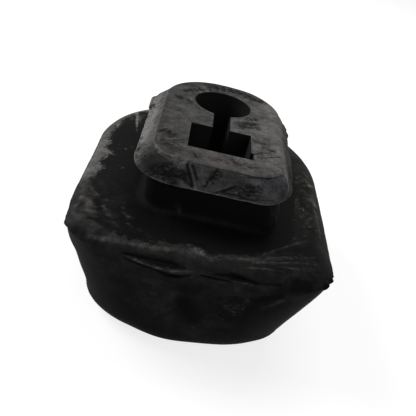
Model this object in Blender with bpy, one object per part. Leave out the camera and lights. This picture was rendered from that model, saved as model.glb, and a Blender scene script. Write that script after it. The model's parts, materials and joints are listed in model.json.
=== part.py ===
"""Rubber mount: one solid moulding, from the engine bay of a car.

A broad D-shaped body tapers down to a smaller, rounder base. On its flat
shoulder stands a neck, and on the neck a flared head that buttons into a hole
in sheet metal, so that the metal's edge lies in the groove round the neck. A
keyhole slot is sunk into the head: a round bore, a narrow bridge and a
rectangular pocket, which take the peg of the piece that the mount carries.

Lengths are in metres, +Z is up. The origin lies on the base, on the bore's
axis: every rounded back end of the mount is drawn round that axis. The front,
where the pocket lies, points to -Y.
"""
import math
from dataclasses import dataclass

import bmesh
import bpy

# Keyhole slot, in plan. The bore's axis is X = 0, Y = 0.
BORE_DIAMETER = 0.0150
BRIDGE_WIDTH = 0.0042
BRIDGE_LENGTH = 0.0082        # from the bore's front edge to the pocket
POCKET_WIDTH = 0.0147
POCKET_LENGTH = 0.0124
NICK_WIDTH = 0.0006           # step at the pocket's front right corner
NICK_LENGTH = 0.0034
FLOOR_THICKNESS = 0.0150      # rubber left between the slot and the base

# Head, from the slot outwards to the edge of its flat top. The side walls stand
# beside the pocket, the back wall behind the bore.
HEAD_WALL_SIDE = 0.00785
HEAD_WALL_FRONT = 0.0070
HEAD_WALL_BACK = 0.0066
HEAD_CORNER_RADIUS = 0.0072
HEAD_FLARE_SIDE = 0.0033      # how far the flank spreads, at the sides and back
HEAD_FLARE_FRONT = 0.0052
HEAD_FLANK_HEIGHT = 0.0032
LIP_CORNER_RADIUS = 0.0095
LIP_THICKNESS = 0.0008
TOP_EDGE_RADIUS = 0.0004

# Groove that the sheet metal's edge lies in, and the neck inside it
GROOVE_DEPTH = 0.0032
GROOVE_HEIGHT = 0.0091
NECK_CORNER_RADIUS = 0.0045
NECK_DRAFT = 0.0004           # the neck is this much wider at its foot
NECK_FOOT_FILLET = 0.0014
NECK_TOP_FILLET = 0.0007

# Body, from the neck outwards to the parting line, its widest line
SHOULDER_SIDE = 0.0150
SHOULDER_FRONT = 0.0144
SHOULDER_BACK = 0.0127
BODY_CORNER_RADIUS = 0.0121
SHOULDER_FALL = 0.0027        # drop from the flat shoulder to the parting line
SHOULDER_ROUND = 0.0049       # width of the rounded band outside the flat one
SHOULDER_ROUND_START = math.radians(25)

# Lower body: the flanks run in from the parting line to a rounder base
LOWER_HEIGHT = 0.0251
BASE_INSET_SIDE = 0.0060
BASE_INSET_FRONT = 0.0002
BASE_CORNER_DEPTH = 0.0133
BASE_EDGE_RADIUS = 0.0075
BASE_EDGE_START = math.radians(10)

BACK_FLAT = 0.0006            # half of the short straight piece at each back end
FRONT_FLAT = 0.0008           # half of the one at the base's front

CORNER_STEPS = 12             # pieces in each rounded corner of a section
FLANK_STEPS = 4
BORE_SIDES = 64
CUT_MARGIN = 0.002            # how far the cutters stand out of the top
TINY = 0.0003

RUBBER_COLOUR = (0.017, 0.016, 0.016, 1.0)
RUBBER_ROUGHNESS = 0.72


@dataclass
class Section:
    """A level outline: straight sides, a rounded back and two front corners."""
    half_width: float
    front: float              # distance from the bore's axis to the front
    back: float               # and to the back
    corner_width: float       # front corners, along X and along Y
    corner_depth: float

    def grown(self, distance):
        """The same outline with its edge moved outwards, or inwards if negative."""
        return Section(self.half_width + distance, self.front + distance, self.back + distance,
                       max(self.corner_width + distance, TINY),
                       max(self.corner_depth + distance, TINY))

    def blended(self, other, share):
        """The outline at this share of the way to another one."""
        def mix(a, b):
            return a + (b - a) * share
        return Section(mix(self.half_width, other.half_width), mix(self.front, other.front),
                       mix(self.back, other.back), mix(self.corner_width, other.corner_width),
                       mix(self.corner_depth, other.corner_depth))

    def points(self):
        """Outline points, anticlockwise from the right end of the front."""
        back_radius = self.half_width - BACK_FLAT
        corners = (
            (self.half_width - self.corner_width, self.corner_depth - self.front,
             self.corner_width, self.corner_depth, -90),
            (self.half_width - back_radius, self.back - back_radius, back_radius, back_radius, 0),
            (back_radius - self.half_width, self.back - back_radius, back_radius, back_radius, 90),
            (self.corner_width - self.half_width, self.corner_depth - self.front,
             self.corner_width, self.corner_depth, 180),
        )
        outline = []
        for x, y, radius_x, radius_y, start in corners:
            for step in range(CORNER_STEPS + 1):
                angle = math.radians(start + 90 * step / CORNER_STEPS)
                outline.append((x + radius_x * math.cos(angle), y + radius_y * math.sin(angle)))
        return outline


# Where the slot's pieces lie
bore_radius = BORE_DIAMETER / 2
pocket_back = bore_radius + BRIDGE_LENGTH
pocket_front = pocket_back + POCKET_LENGTH

# Outlines, each worked out from the one inside it
head_top = Section(POCKET_WIDTH / 2 + HEAD_WALL_SIDE,
                   pocket_front + HEAD_WALL_FRONT, bore_radius + HEAD_WALL_BACK,
                   HEAD_CORNER_RADIUS, HEAD_CORNER_RADIUS)
lip = Section(head_top.half_width + HEAD_FLARE_SIDE, head_top.front + HEAD_FLARE_FRONT,
              head_top.back + HEAD_FLARE_SIDE, LIP_CORNER_RADIUS, LIP_CORNER_RADIUS)
neck_foot = Section(lip.half_width - GROOVE_DEPTH, lip.front - GROOVE_DEPTH,
                    lip.back - GROOVE_DEPTH, NECK_CORNER_RADIUS, NECK_CORNER_RADIUS)
neck_top = neck_foot.grown(-NECK_DRAFT)
parting = Section(neck_foot.half_width + SHOULDER_SIDE, neck_foot.front + SHOULDER_FRONT,
                  neck_foot.back + SHOULDER_BACK, BODY_CORNER_RADIUS, BODY_CORNER_RADIUS)
base_half_width = parting.half_width - BASE_INSET_SIDE
base = Section(base_half_width, parting.front - BASE_INSET_FRONT, parting.back - BASE_INSET_SIDE,
               base_half_width - FRONT_FLAT, BASE_CORNER_DEPTH)

# Levels, from the base up
parting_level = LOWER_HEIGHT
shoulder_level = parting_level + SHOULDER_FALL
lip_under = shoulder_level + GROOVE_HEIGHT
lip_over = lip_under + LIP_THICKNESS
top_level = lip_over + HEAD_FLANK_HEIGHT
slot_depth = top_level - FLOOR_THICKNESS


def quarter(steps, start=0.0):
    """Angles from the start to a right angle, in equal steps."""
    return [start + (math.pi / 2 - start) * step / steps for step in range(steps + 1)]


def lower_levels():
    """From the base's rounded edge up the tapering flanks to the parting line."""
    levels = []
    start = BASE_EDGE_START
    for angle in reversed(quarter(6, start)):
        inset = BASE_EDGE_RADIUS * (math.cos(start) - math.cos(angle))
        levels.append((BASE_EDGE_RADIUS * (1 - math.sin(angle)), base.grown(-inset)))
    edge_top = levels[-1][0]
    for step in range(1, FLANK_STEPS + 1):
        share = step / FLANK_STEPS
        levels.append((edge_top + (parting_level - edge_top) * share, base.blended(parting, share)))
    return levels


def shoulder_levels():
    """From the parting line over the rounded band to the flat shoulder and the neck."""
    levels = []
    first = SHOULDER_ROUND_START
    for angle in quarter(5, first)[1:]:
        rise = (math.sin(angle) - math.sin(first)) / (1 - math.sin(first))
        run = (math.cos(first) - math.cos(angle)) / math.cos(first)
        levels.append((parting_level + SHOULDER_FALL * rise,
                       parting.grown(-SHOULDER_ROUND * run)))
    return levels


def neck_levels():
    """The neck, with a hollow fillet at its foot and at its top."""
    levels = []
    for angle in quarter(4):
        levels.append((shoulder_level + NECK_FOOT_FILLET * (1 - math.cos(angle)),
                       neck_foot.grown(NECK_FOOT_FILLET * (1 - math.sin(angle)))))
    for angle in quarter(3):
        levels.append((lip_under - NECK_TOP_FILLET * (1 - math.sin(angle)),
                       neck_top.grown(NECK_TOP_FILLET * (1 - math.cos(angle)))))
    return levels


def head_levels():
    """The lip's half-round edge, the flared flank and the edge of the flat top."""
    radius = LIP_THICKNESS / 2
    levels = []
    for step in range(7):
        angle = math.pi * step / 6
        levels.append((lip_under + radius * (1 - math.cos(angle)),
                       lip.grown(-radius * (1 - math.sin(angle)))))
    flank_top = head_top.grown(0)
    flank_bottom = lip.grown(-radius)
    for step in range(1, 3):
        share = step / 3
        levels.append((lip_over + HEAD_FLANK_HEIGHT * share, flank_bottom.blended(flank_top, share)))
    for angle in quarter(3):
        levels.append((top_level - TOP_EDGE_RADIUS * (1 - math.sin(angle)),
                       head_top.grown(-TOP_EDGE_RADIUS * (1 - math.cos(angle)))))
    return levels


def loft(name, levels):
    """A closed mesh through level outlines, one above the other."""
    mesh = bpy.data.meshes.new(name)
    bm = bmesh.new()
    rings = [[bm.verts.new((x, y, height)) for x, y in section.points()]
             for height, section in levels]
    for below, above in zip(rings, rings[1:]):
        for i in range(len(below)):
            j = (i + 1) % len(below)
            bm.faces.new((below[i], below[j], above[j], above[i]))
    bm.faces.new(rings[0][::-1])
    bm.faces.new(rings[-1])
    bmesh.ops.recalc_face_normals(bm, faces=bm.faces)
    bm.to_mesh(mesh)
    bm.free()
    return bpy.data.objects.new(name, mesh)


def rubber():
    """Black moulded rubber."""
    material = bpy.data.materials.new("rubber")
    material.use_nodes = True
    shader = material.node_tree.nodes["Principled BSDF"]
    shader.inputs["Base Color"].default_value = RUBBER_COLOUR
    shader.inputs["Roughness"].default_value = RUBBER_ROUGHNESS
    shader.inputs["Metallic"].default_value = 0.0
    return material


def cutter(name, mesh_operator, location, scale=(1, 1, 1), **settings):
    """A tool that is taken away from the moulding, kept in its own collection."""
    mesh_operator(location=location, **settings)
    tool = bpy.context.object
    tool.name = name
    tool.scale = scale
    bpy.ops.object.transform_apply(location=False, rotation=False, scale=True)
    for holder in list(tool.users_collection):
        holder.objects.unlink(tool)
    cutters.objects.link(tool)
    tool.hide_render = True
    tool.display_type = "WIRE"
    return tool


def cut_box(name, left, right, front, back):
    """A box-shaped cutter between these limits, from the slot's floor to above the top."""
    height = slot_depth + CUT_MARGIN
    return cutter(name, bpy.ops.mesh.primitive_cube_add,
                  ((left + right) / 2, (front + back) / 2, FLOOR_THICKNESS + height / 2),
                  (right - left, back - front, height), size=1)


def slot_cutters():
    """The keyhole: bore, bridge, pocket, and the nick beside the pocket."""
    height = slot_depth + CUT_MARGIN
    bore = cutter("bore_cutter", bpy.ops.mesh.primitive_cylinder_add,
                  (0, 0, FLOOR_THICKNESS + height / 2),
                  vertices=BORE_SIDES, radius=bore_radius, depth=height)
    bridge = cut_box("bridge_cutter", -BRIDGE_WIDTH / 2, BRIDGE_WIDTH / 2,
                     -pocket_back - POCKET_LENGTH / 2, 0)
    pocket = cut_box("pocket_cutter", -POCKET_WIDTH / 2, POCKET_WIDTH / 2,
                     -pocket_front, -pocket_back)
    nick = cut_box("nick_cutter", 0, POCKET_WIDTH / 2 + NICK_WIDTH,
                   -pocket_front, -pocket_front + NICK_LENGTH)
    return bore, bridge, pocket, nick


for old in list(bpy.data.objects):
    bpy.data.objects.remove(old)

parts = bpy.data.collections.new("Rubber mount")
cutters = bpy.data.collections.new("Cutters")
bpy.context.scene.collection.children.link(parts)
bpy.context.scene.collection.children.link(cutters)

mount = loft("rubber_mount", lower_levels() + shoulder_levels() + neck_levels() + head_levels())
mount.data.materials.append(rubber())
mount.data.shade_smooth()
mount.data.set_sharp_from_angle(angle=math.radians(35))
parts.objects.link(mount)

for tool in slot_cutters():
    cut = mount.modifiers.new(tool.name, "BOOLEAN")
    cut.operation = "DIFFERENCE"
    cut.solver = "EXACT"
    cut.object = tool
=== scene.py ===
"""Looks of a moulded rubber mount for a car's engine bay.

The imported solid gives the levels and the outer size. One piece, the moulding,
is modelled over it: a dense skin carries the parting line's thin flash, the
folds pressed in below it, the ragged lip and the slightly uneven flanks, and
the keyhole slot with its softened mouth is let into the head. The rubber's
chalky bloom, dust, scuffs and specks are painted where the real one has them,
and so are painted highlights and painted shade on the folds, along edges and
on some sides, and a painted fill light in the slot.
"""
import json
import math

import bmesh
import bpy
import numpy as np
from mathutils import Matrix, Vector, noise


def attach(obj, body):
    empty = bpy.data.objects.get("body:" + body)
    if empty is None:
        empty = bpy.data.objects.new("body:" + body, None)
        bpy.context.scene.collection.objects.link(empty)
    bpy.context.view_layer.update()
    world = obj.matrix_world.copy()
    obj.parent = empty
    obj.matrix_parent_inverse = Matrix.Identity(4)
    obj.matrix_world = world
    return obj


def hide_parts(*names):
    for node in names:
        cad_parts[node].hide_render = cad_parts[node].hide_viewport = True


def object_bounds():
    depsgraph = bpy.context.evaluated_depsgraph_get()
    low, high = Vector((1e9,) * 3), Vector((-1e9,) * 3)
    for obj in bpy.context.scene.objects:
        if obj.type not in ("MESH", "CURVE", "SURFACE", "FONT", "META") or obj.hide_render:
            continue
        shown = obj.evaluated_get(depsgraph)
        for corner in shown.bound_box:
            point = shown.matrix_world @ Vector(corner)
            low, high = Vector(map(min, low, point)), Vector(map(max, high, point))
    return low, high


bl_info = {
    "name": "Rubber mount looks",
    "version": (1, 0, 0),
    "blender": (4, 5, 0),
    "location": "3D View > Sidebar > Rubber mount",
    "description": "Models and finishes a moulded rubber mount over its solid",
    "category": "Object",
}

MM = 0.001
NODE = "rubber_mount"

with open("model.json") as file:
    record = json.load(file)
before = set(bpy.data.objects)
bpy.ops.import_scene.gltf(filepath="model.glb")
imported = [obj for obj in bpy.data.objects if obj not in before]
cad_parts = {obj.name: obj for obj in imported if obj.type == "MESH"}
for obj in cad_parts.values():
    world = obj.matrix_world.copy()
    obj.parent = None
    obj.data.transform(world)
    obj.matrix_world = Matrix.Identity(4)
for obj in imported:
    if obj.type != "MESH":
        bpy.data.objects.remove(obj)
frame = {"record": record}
CAD_LOW, CAD_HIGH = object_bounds()
MOUNTS = {mount["name"]: mount["pos_m"] for mount in frame["record"]["mounts"]}
OPENINGS = {hole["name"]: hole["box_m"] for hole in frame["record"]["physics"]["openings"]}
OPENING_GAP = 0.2 * MM        # the openings' boxes keep this far from the solid

# Levels of the moulding, from its frame
SHOULDER_LEVEL = MOUNTS["shoulder_face"][2]
TOP_LEVEL = MOUNTS["head_top_face"][2]
SLOT_FLOOR = OPENINGS["bore"][0][2] - OPENING_GAP
LIP_UNDER = OPENINGS["groove_front"][1][2] + OPENING_GAP
PARTING_LEVEL = SHOULDER_LEVEL - 2.7 * MM
LIP_RADIUS = 0.4 * MM
LIP_OVER = LIP_UNDER + 2 * LIP_RADIUS

# Rounded edges and fillets
TOP_EDGE_RADIUS = 0.4 * MM
NECK_FOOT_FILLET = 1.4 * MM
NECK_TOP_FILLET = 0.7 * MM
SHOULDER_ROUND = 4.9 * MM
SHOULDER_ROUND_START = math.radians(25)
BASE_EDGE_RADIUS = 7.5 * MM
BASE_EDGE_START = math.radians(10)

# Keyhole slot, round the bore's axis
BORE_RADIUS = 7.5 * MM
BRIDGE_HALF = 2.1 * MM
POCKET_HALF = 7.35 * MM
POCKET_BACK = 15.7 * MM
POCKET_FRONT = 28.1 * MM
NICK_WIDTH = 0.6 * MM
NICK_LENGTH = 3.4 * MM

BACK_FLAT = 0.6 * MM

# Middles of the round corners that the widest outline has, from the bore's axis
CORNER_SIDE = 18.2 * MM
CORNER_FRONT = 39.4 * MM
BACK_MIDDLE = -2.8 * MM

# How much fuller the front right corner is, in mm: the levels first, then the amounts
CORNER_FULLNESS = ((0, 2, 5, 10, 15, 20, 23, 25.1, 26.3, 27.8),
                   (0, 0.4, 0.4, 0.65, 0.95, 1.15, 1.15, 0.8, 0, 0))

# Small faces of the flat top: their spacing, where the cuts lie in it, how often
# each edge is cut again, and the shortest edge that is kept
FILL_SPACING = 1.2 * MM
FILL_SHIFT = 0.37
FILL_CUTS = 2
FILL_SHORTEST = 0.004 * MM
MOUTH_MARGIN = 0.35 * MM      # flat top that belongs to the slot's mouth

SHARP_ANGLE = math.radians(50)
SLOT_REACH = 0.15 * MM        # the slot's looks reach this far past its walls

# How many pieces each run of an outline has
FRONT_CORNER_STEPS = 44
SIDE_STEPS = 62
BACK_CORNER_STEPS = 42
BACK_STEPS = 2
FRONT_STEPS = 90


class Section:
    """A level outline: straight sides, a rounded back and two front corners."""

    def __init__(self, half_width, front, back, corner_width, corner_depth=None):
        self.sizes = np.array([half_width, front, back, corner_width,
                               corner_width if corner_depth is None else corner_depth])

    def grown(self, distance):
        """The outline with its edge moved outwards, or inwards if negative."""
        return Section(*np.maximum(self.sizes + distance, 0.2 * MM))

    def blended(self, other, share):
        """The outline at this share of the way to another one."""
        return Section(*(self.sizes + (other.sizes - self.sizes) * share))

    def points(self):
        """Outline points, anticlockwise from the right end of the front."""
        half, front, back, wide, deep = self.sizes
        radius = half - BACK_FLAT
        runs = (
            arc(half - wide, deep - front, wide, deep, -90, FRONT_CORNER_STEPS),
            line((half, deep - front), (half, back - radius), SIDE_STEPS),
            arc(BACK_FLAT, back - radius, radius, radius, 0, BACK_CORNER_STEPS),
            line((BACK_FLAT, back), (-BACK_FLAT, back), BACK_STEPS),
            arc(-BACK_FLAT, back - radius, radius, radius, 90, BACK_CORNER_STEPS),
            line((-half, back - radius), (-half, deep - front), SIDE_STEPS),
            arc(wide - half, deep - front, wide, deep, 180, FRONT_CORNER_STEPS),
            line((wide - half, -front), (half - wide, -front), FRONT_STEPS),
        )
        return np.vstack(runs)


def arc(x, y, radius_x, radius_y, start, steps):
    """A quarter turn in equal steps, without its last point."""
    angles = np.radians(start + 90 * np.arange(steps) / steps)
    return np.column_stack((x + radius_x * np.cos(angles), y + radius_y * np.sin(angles)))


def line(start, end, steps):
    """A straight run in equal steps, without its last point."""
    shares = np.arange(steps)[:, None] / steps
    return np.array(start) * (1 - shares) + np.array(end) * shares


HEAD_TOP = Section(15.2 * MM, 35.1 * MM, 14.1 * MM, 7.2 * MM)
LIP = Section(18.5 * MM, 40.3 * MM, 17.4 * MM, 9.5 * MM)
NECK_FOOT = Section(15.3 * MM, 37.1 * MM, 14.2 * MM, 4.5 * MM)
NECK_TOP = NECK_FOOT.grown(-0.4 * MM)
PARTING = Section(CAD_HIGH.x, -CAD_LOW.y, CAD_HIGH.y, 12.1 * MM)
BASE = Section(CAD_HIGH.x - 6.0 * MM, -CAD_LOW.y - 0.2 * MM, CAD_HIGH.y - 6.0 * MM,
               CAD_HIGH.x - 6.8 * MM, 13.3 * MM)


def quarter(steps, start=0.0):
    """Angles from the start to a right angle."""
    return np.linspace(start, math.pi / 2, steps + 1)


def between(start, end, shares):
    """Rings at these shares of the way from one ring to another."""
    (low, first), (high, last) = start, end
    return [(low + (high - low) * share, first.blended(last, share)) for share in shares]


def body_rings():
    """Level outlines from the base's rounded edge to the flat shoulder."""
    rings = []
    for angle in reversed(quarter(10, BASE_EDGE_START)):
        inset = BASE_EDGE_RADIUS * (math.cos(BASE_EDGE_START) - math.cos(angle))
        rings.append((BASE_EDGE_RADIUS * (1 - math.sin(angle)), BASE.grown(-inset)))
    shares = (*np.linspace(0, 0.66, 21)[1:], *np.linspace(0.66, 1, 31)[1:])
    rings += between((rings[-1][0], BASE), (PARTING_LEVEL, PARTING), shares)
    first = SHOULDER_ROUND_START
    for angle in quarter(24, first)[1:]:
        up = (math.sin(angle) - math.sin(first)) / (1 - math.sin(first))
        run = (math.cos(first) - math.cos(angle)) / math.cos(first)
        rings.append((PARTING_LEVEL + (SHOULDER_LEVEL - PARTING_LEVEL) * up,
                      PARTING.grown(-SHOULDER_ROUND * run)))
    return rings


def neck_rings():
    """Over the flat shoulder, up the neck and out under the head."""
    rings = between((SHOULDER_LEVEL, PARTING.grown(-SHOULDER_ROUND)),
                    (SHOULDER_LEVEL, NECK_FOOT.grown(NECK_FOOT_FILLET)),
                    np.linspace(0, 1, 26)[1:-1])
    for angle in quarter(6):
        rings.append((SHOULDER_LEVEL + NECK_FOOT_FILLET * (1 - math.cos(angle)),
                      NECK_FOOT.grown(NECK_FOOT_FILLET * (1 - math.sin(angle)))))
    rings += between((rings[-1][0], NECK_FOOT), (LIP_UNDER - NECK_TOP_FILLET, NECK_TOP),
                     np.linspace(0, 1, 7)[1:-1])
    for angle in quarter(3):
        rings.append((LIP_UNDER - NECK_TOP_FILLET * (1 - math.sin(angle)),
                      NECK_TOP.grown(NECK_TOP_FILLET * (1 - math.cos(angle)))))
    rings += between((LIP_UNDER, rings[-1][1]), (LIP_UNDER, LIP.grown(-LIP_RADIUS)),
                     np.linspace(0, 1, 6)[1:-1])
    return rings


def head_rings():
    """Round the lip's edge, up the flared flank and over the top's edge."""
    rings = []
    for angle in np.linspace(0, math.pi, 11):
        rings.append((LIP_UNDER + LIP_RADIUS * (1 - math.cos(angle)),
                      LIP.grown(-LIP_RADIUS * (1 - math.sin(angle)))))
    rings += between((LIP_OVER, rings[-1][1]), (TOP_LEVEL - TOP_EDGE_RADIUS, HEAD_TOP),
                     np.linspace(0, 1, 22)[1:-1])
    for angle in quarter(5):
        rings.append((TOP_LEVEL - TOP_EDGE_RADIUS * (1 - math.sin(angle)),
                      HEAD_TOP.grown(-TOP_EDGE_RADIUS * (1 - math.cos(angle)))))
    rings.append((TOP_LEVEL, HEAD_TOP.grown(-2 * TOP_EDGE_RADIUS)))
    return rings


def lump(values, middle, reach):
    """A smooth bump along one coordinate: 1 at the middle, 0 past its reach."""
    share = np.clip(1 - ((values - middle) / reach) ** 2, 0, 1)
    return share * share


def rough(points, size, seed):
    """Smooth noise from -1 to 1 at these points, with features of this size."""
    shift = Vector((seed * 7.3, seed * 3.1, seed * 5.7))
    flat = points.reshape(-1, 3) / size
    values = [noise.noise(Vector(p) + shift) for p in flat]
    return np.array(values).reshape(points.shape[:-1])


def groove(points, start, end, width, depth, sag=0.0):
    """A lens-shaped fold in the front face, between two places given as X and Z in mm."""
    start, end = np.array(start) * MM, np.array(end) * MM
    along = end - start
    length = np.linalg.norm(along)
    along = along / length
    away = np.stack((points[..., 0], points[..., 2]), axis=-1) - start
    share = away @ along / length
    inside = np.clip(1 - (2 * share - 1) ** 2, 0, 1)
    across = away[..., 1] * along[0] - away[..., 0] * along[1] - sag * MM * inside
    half = width * MM / 2 * np.sqrt(inside) + 1e-9
    face = points[..., 1] < -CAD_HIGH.x
    return -depth * MM * inside * np.clip(1 - (across / half) ** 2, 0, 1) * face


def swelling(points):
    """How far each point lies sideways of the plain form."""
    x, y, z = np.moveaxis(points / MM, -1, 0)
    shoulder, under = SHOULDER_LEVEL / MM, LIP_UNDER / MM
    sideways = np.zeros_like(points)

    # The neck's foot stands to the right
    neck = smooth(z, shoulder + 0.05, shoulder + 1.3) * (1 - smooth(z, under - 3.6, under - 0.05))
    low = 1 - smooth(z, shoulder, shoulder + 8)
    sideways[..., 0] += neck * smooth(x, 1, 13) * (0.8 + 0.9 * low)
    sideways[..., 0] += neck * smooth(-x, 1, 13) * 0.8 * low

    # The head's back right corner is fuller
    head = smooth(z, under + 0.8, under + 2.5) * smooth(x, 2, 8) * smooth(y, -8, 0)
    sideways[..., 0] += 0.45 * head
    sideways[..., 1] += 0.4 * head

    # The lip flares less at the front right corner
    reach = np.hypot(np.maximum(x - 10.8, 0), np.maximum(-y - 32.6, 0))
    flare = smooth(reach, 5, 6.8) * smooth(x, 12, 16) * smooth(-y, 24, 30)
    flare *= smooth(z, under - 0.05, under) * (1 - smooth(z, under + 1.5, TOP_LEVEL / MM - 0.5))
    sideways[..., 0] -= 0.65 * flare
    sideways[..., 1] += 0.3 * flare
    return sideways * MM


def relief(points, sizes):
    """How far each point of the skin stands proud of the plain form."""
    x, y, z = points[..., 0], points[..., 1], points[..., 2]
    body = smooth(z, 0.3 * MM, 2.5 * MM)
    body = body * (1 - smooth(z, SHOULDER_LEVEL - 1.2 * MM, SHOULDER_LEVEL))
    ridge = PARTING_LEVEL
    turn = np.degrees(np.arctan2(-y - CORNER_FRONT, x - CORNER_SIDE))

    # Flash along the parting line, with a tip at the front left corner
    fin = 0.4 * lump(z, ridge, 0.45 * MM)
    ragged = 0.6 + 0.6 * rough(points, 4 * MM, 1) + 0.5 * rough(points, 1.1 * MM, 2)
    height = fin * sizes.fin_height * np.clip(ragged, 0.1, 1.6)
    height += 1.0 * MM * fin * lump(y, -44.8 * MM, 1.3 * MM) * (x < 0)

    # The front left corner is leaner just behind the flash's tip
    left_turn = np.degrees(np.arctan2(-y - CORNER_FRONT, -x - CORNER_SIDE))
    height -= 0.45 * MM * lump(z, ridge + 0.3 * MM, 2.4 * MM) * lump(left_turn, 3, 20)

    # Below, it swells under the parting line, then sinks, and the base is fuller in front
    uneven = 0.35 * lump(z, ridge - 4.4 * MM, 3.6 * MM) - 0.35 * lump(z, 8.5 * MM, 4.5 * MM)
    height += MM * uneven * lump(left_turn, 16, 28)
    height += 0.55 * MM * lump(z, 3.6 * MM, 3.3 * MM) * lump(x, -3.5 * MM, 9 * MM) * (y < -30 * MM)

    # Folds pressed in below the shoulder's front edge
    depth = sizes.fold_depth / MM
    height += groove(points, (-16.4, 25.3), (-2.4, 25.3), 0.9, depth, 0.35)
    height += groove(points, (-15.4, 24.4), (-6.6, 22.9), 0.45, depth * 0.5, -0.1)
    height += groove(points, (-8.2, 23.2), (-1.4, 23.4), 0.75, depth * 0.9, -0.75)
    height += groove(points, (0.4, 24.3), (7.2, 23.9), 0.7, depth * 0.6)
    height += groove(points, (5.6, 25.3), (13.0, 25.1), 0.9, depth, 0.25)

    # Uneven flanks, fuller at the front right corner
    height += sizes.unevenness * rough(points, 14 * MM, 4) * body
    height += 0.3 * sizes.unevenness * rough(points, 4 * MM, 5) * body
    full = sum(np.interp(z / MM + step, *CORNER_FULLNESS) for step in (-0.6, 0, 0.6)) / 3
    corner = lump(turn, 50, 58)
    height = height * (1 - 0.7 * corner) + MM * full * corner

    # The flash is torn at the front right corner
    torn = lump(z, ridge, 0.7 * MM) * lump(turn, 34, 26)
    height += 0.55 * MM * torn * np.clip(0.5 + 1.8 * rough(points, 0.8 * MM, 3), 0, 1.2)

    # Ragged lip, with a torn nub at each side
    edge = LIP_UNDER + LIP_RADIUS
    lip = lump(z, edge, 0.7 * MM)
    height += lip * sizes.lip_raggedness * rough(points, 1.6 * MM, 6)
    lumps = 0.75 + 1.1 * rough(points, 1.5 * MM, 7)
    left_nub = np.clip(2.0 * lump(y, -1.8 * MM, 5.4 * MM), 0, 1)
    right_nub = lump(y, -1.0 * MM, 8.0 * MM) * np.clip(lumps, 0, 1.3)
    nub = np.where(x < 0, 0.6 * left_nub, 0.36 * right_nub) * (abs(x) > 12 * MM)
    height += MM * lump(z, edge + 0.2 * MM, 1.2 * MM) * nub
    return height


def skin(sizes):
    """The outer surface as a grid of points, ring by ring, and the same grid left plain."""
    rings = body_rings() + neck_rings() + head_rings()
    rows = []
    for level, section in rings:
        outline = section.points()
        rows.append(np.column_stack((outline, np.full(len(outline), level))))
    points = np.array(rows)
    around = np.roll(points, -1, axis=1) - np.roll(points, 1, axis=1)
    upwards = np.gradient(points, axis=0)
    normals = np.cross(around, upwards)
    normals /= np.linalg.norm(normals, axis=-1, keepdims=True) + 1e-12
    raised = points + normals * relief(points, sizes)[..., None] + swelling(points)
    return [np.concatenate((grid, grid[:, :1]), axis=1) for grid in (raised, points)]


def keyhole(grow):
    """The slot's outline in plan, its walls moved outwards by this much."""
    bore, half = BORE_RADIUS + grow, BRIDGE_HALF + grow
    open_angle = math.asin(half / bore)
    angles = np.linspace(open_angle - math.pi / 2, 1.5 * math.pi - open_angle, 97)
    round_end = [(bore * math.cos(a), bore * math.sin(a)) for a in angles]
    back, front = grow - POCKET_BACK, -POCKET_FRONT - grow
    side = POCKET_HALF + grow
    nick_side, nick_back = side + NICK_WIDTH, front + NICK_LENGTH
    return round_end + [
        (-half, back), (-side, back), (-side, front), (nick_side, front),
        (nick_side, nick_back), (side, nick_back), (side, back), (half, back)]


def loop_edges(bm, ring):
    """The edges that join a closed row of vertices."""
    pairs = zip(ring, ring[1:] + ring[:1])
    return [bm.edges.get(pair) or bm.edges.new(pair) for pair in pairs]


def extruded(bm, ring, places):
    """Extrudes a closed row of vertices to new places and returns the new row."""
    order = bm.verts.layers.int["order"]
    for number, vert in enumerate(ring):
        vert[order] = number
    made = bmesh.ops.extrude_edge_only(bm, edges=loop_edges(bm, ring))["geom"]
    moved = sorted((v for v in made if isinstance(v, bmesh.types.BMVert)), key=lambda v: v[order])
    for vert, place in zip(moved, places):
        vert.co = place
    return moved


def wrap_grid(bm, points, plain):
    """Bends a flat grid to the skin's points and closes it into a tube."""
    layer = bm.verts.layers.float_vector["plain"]
    rows, columns = points.shape[0] - 1, points.shape[1] - 1
    grid = bmesh.ops.create_grid(bm, x_segments=columns, y_segments=rows, size=0.5)["verts"]
    woven = {}
    for vert in grid:
        row, column = round((vert.co.y + 0.5) * rows), round((vert.co.x + 0.5) * columns)
        woven[row, column] = vert
        vert.co = points[row, column]
        vert[layer] = plain[row, column]
    seam = {woven[row, columns]: woven[row, 0] for row in range(rows + 1)}
    bmesh.ops.weld_verts(bm, targetmap=seam)
    return ([woven[0, column] for column in range(columns)],
            [woven[rows, column] for column in range(columns)])


def cut_slot(bm, sizes):
    """The slot's mouth, walls and floor. Returns the loop that meets the flat top."""
    radius = sizes.mouth_radius

    def ring(grow, level):
        return [Vector((x, y, level)) for x, y in keyhole(grow)]

    outer = [bm.verts.new(place) for place in ring(radius + MOUTH_MARGIN, TOP_LEVEL)]
    row = extruded(bm, outer, ring(radius, TOP_LEVEL))
    for angle in quarter(4)[1:]:
        row = extruded(bm, row, ring(radius * (1 - math.sin(angle)),
                                     TOP_LEVEL - radius * (1 - math.cos(angle))))
    for level in np.linspace(TOP_LEVEL - 2 * radius, SLOT_FLOOR, 8):
        row = extruded(bm, row, ring(0, level))
    floor = bm.faces.new(row)
    bmesh.ops.triangulate(bm, faces=[floor])
    return outer


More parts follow.
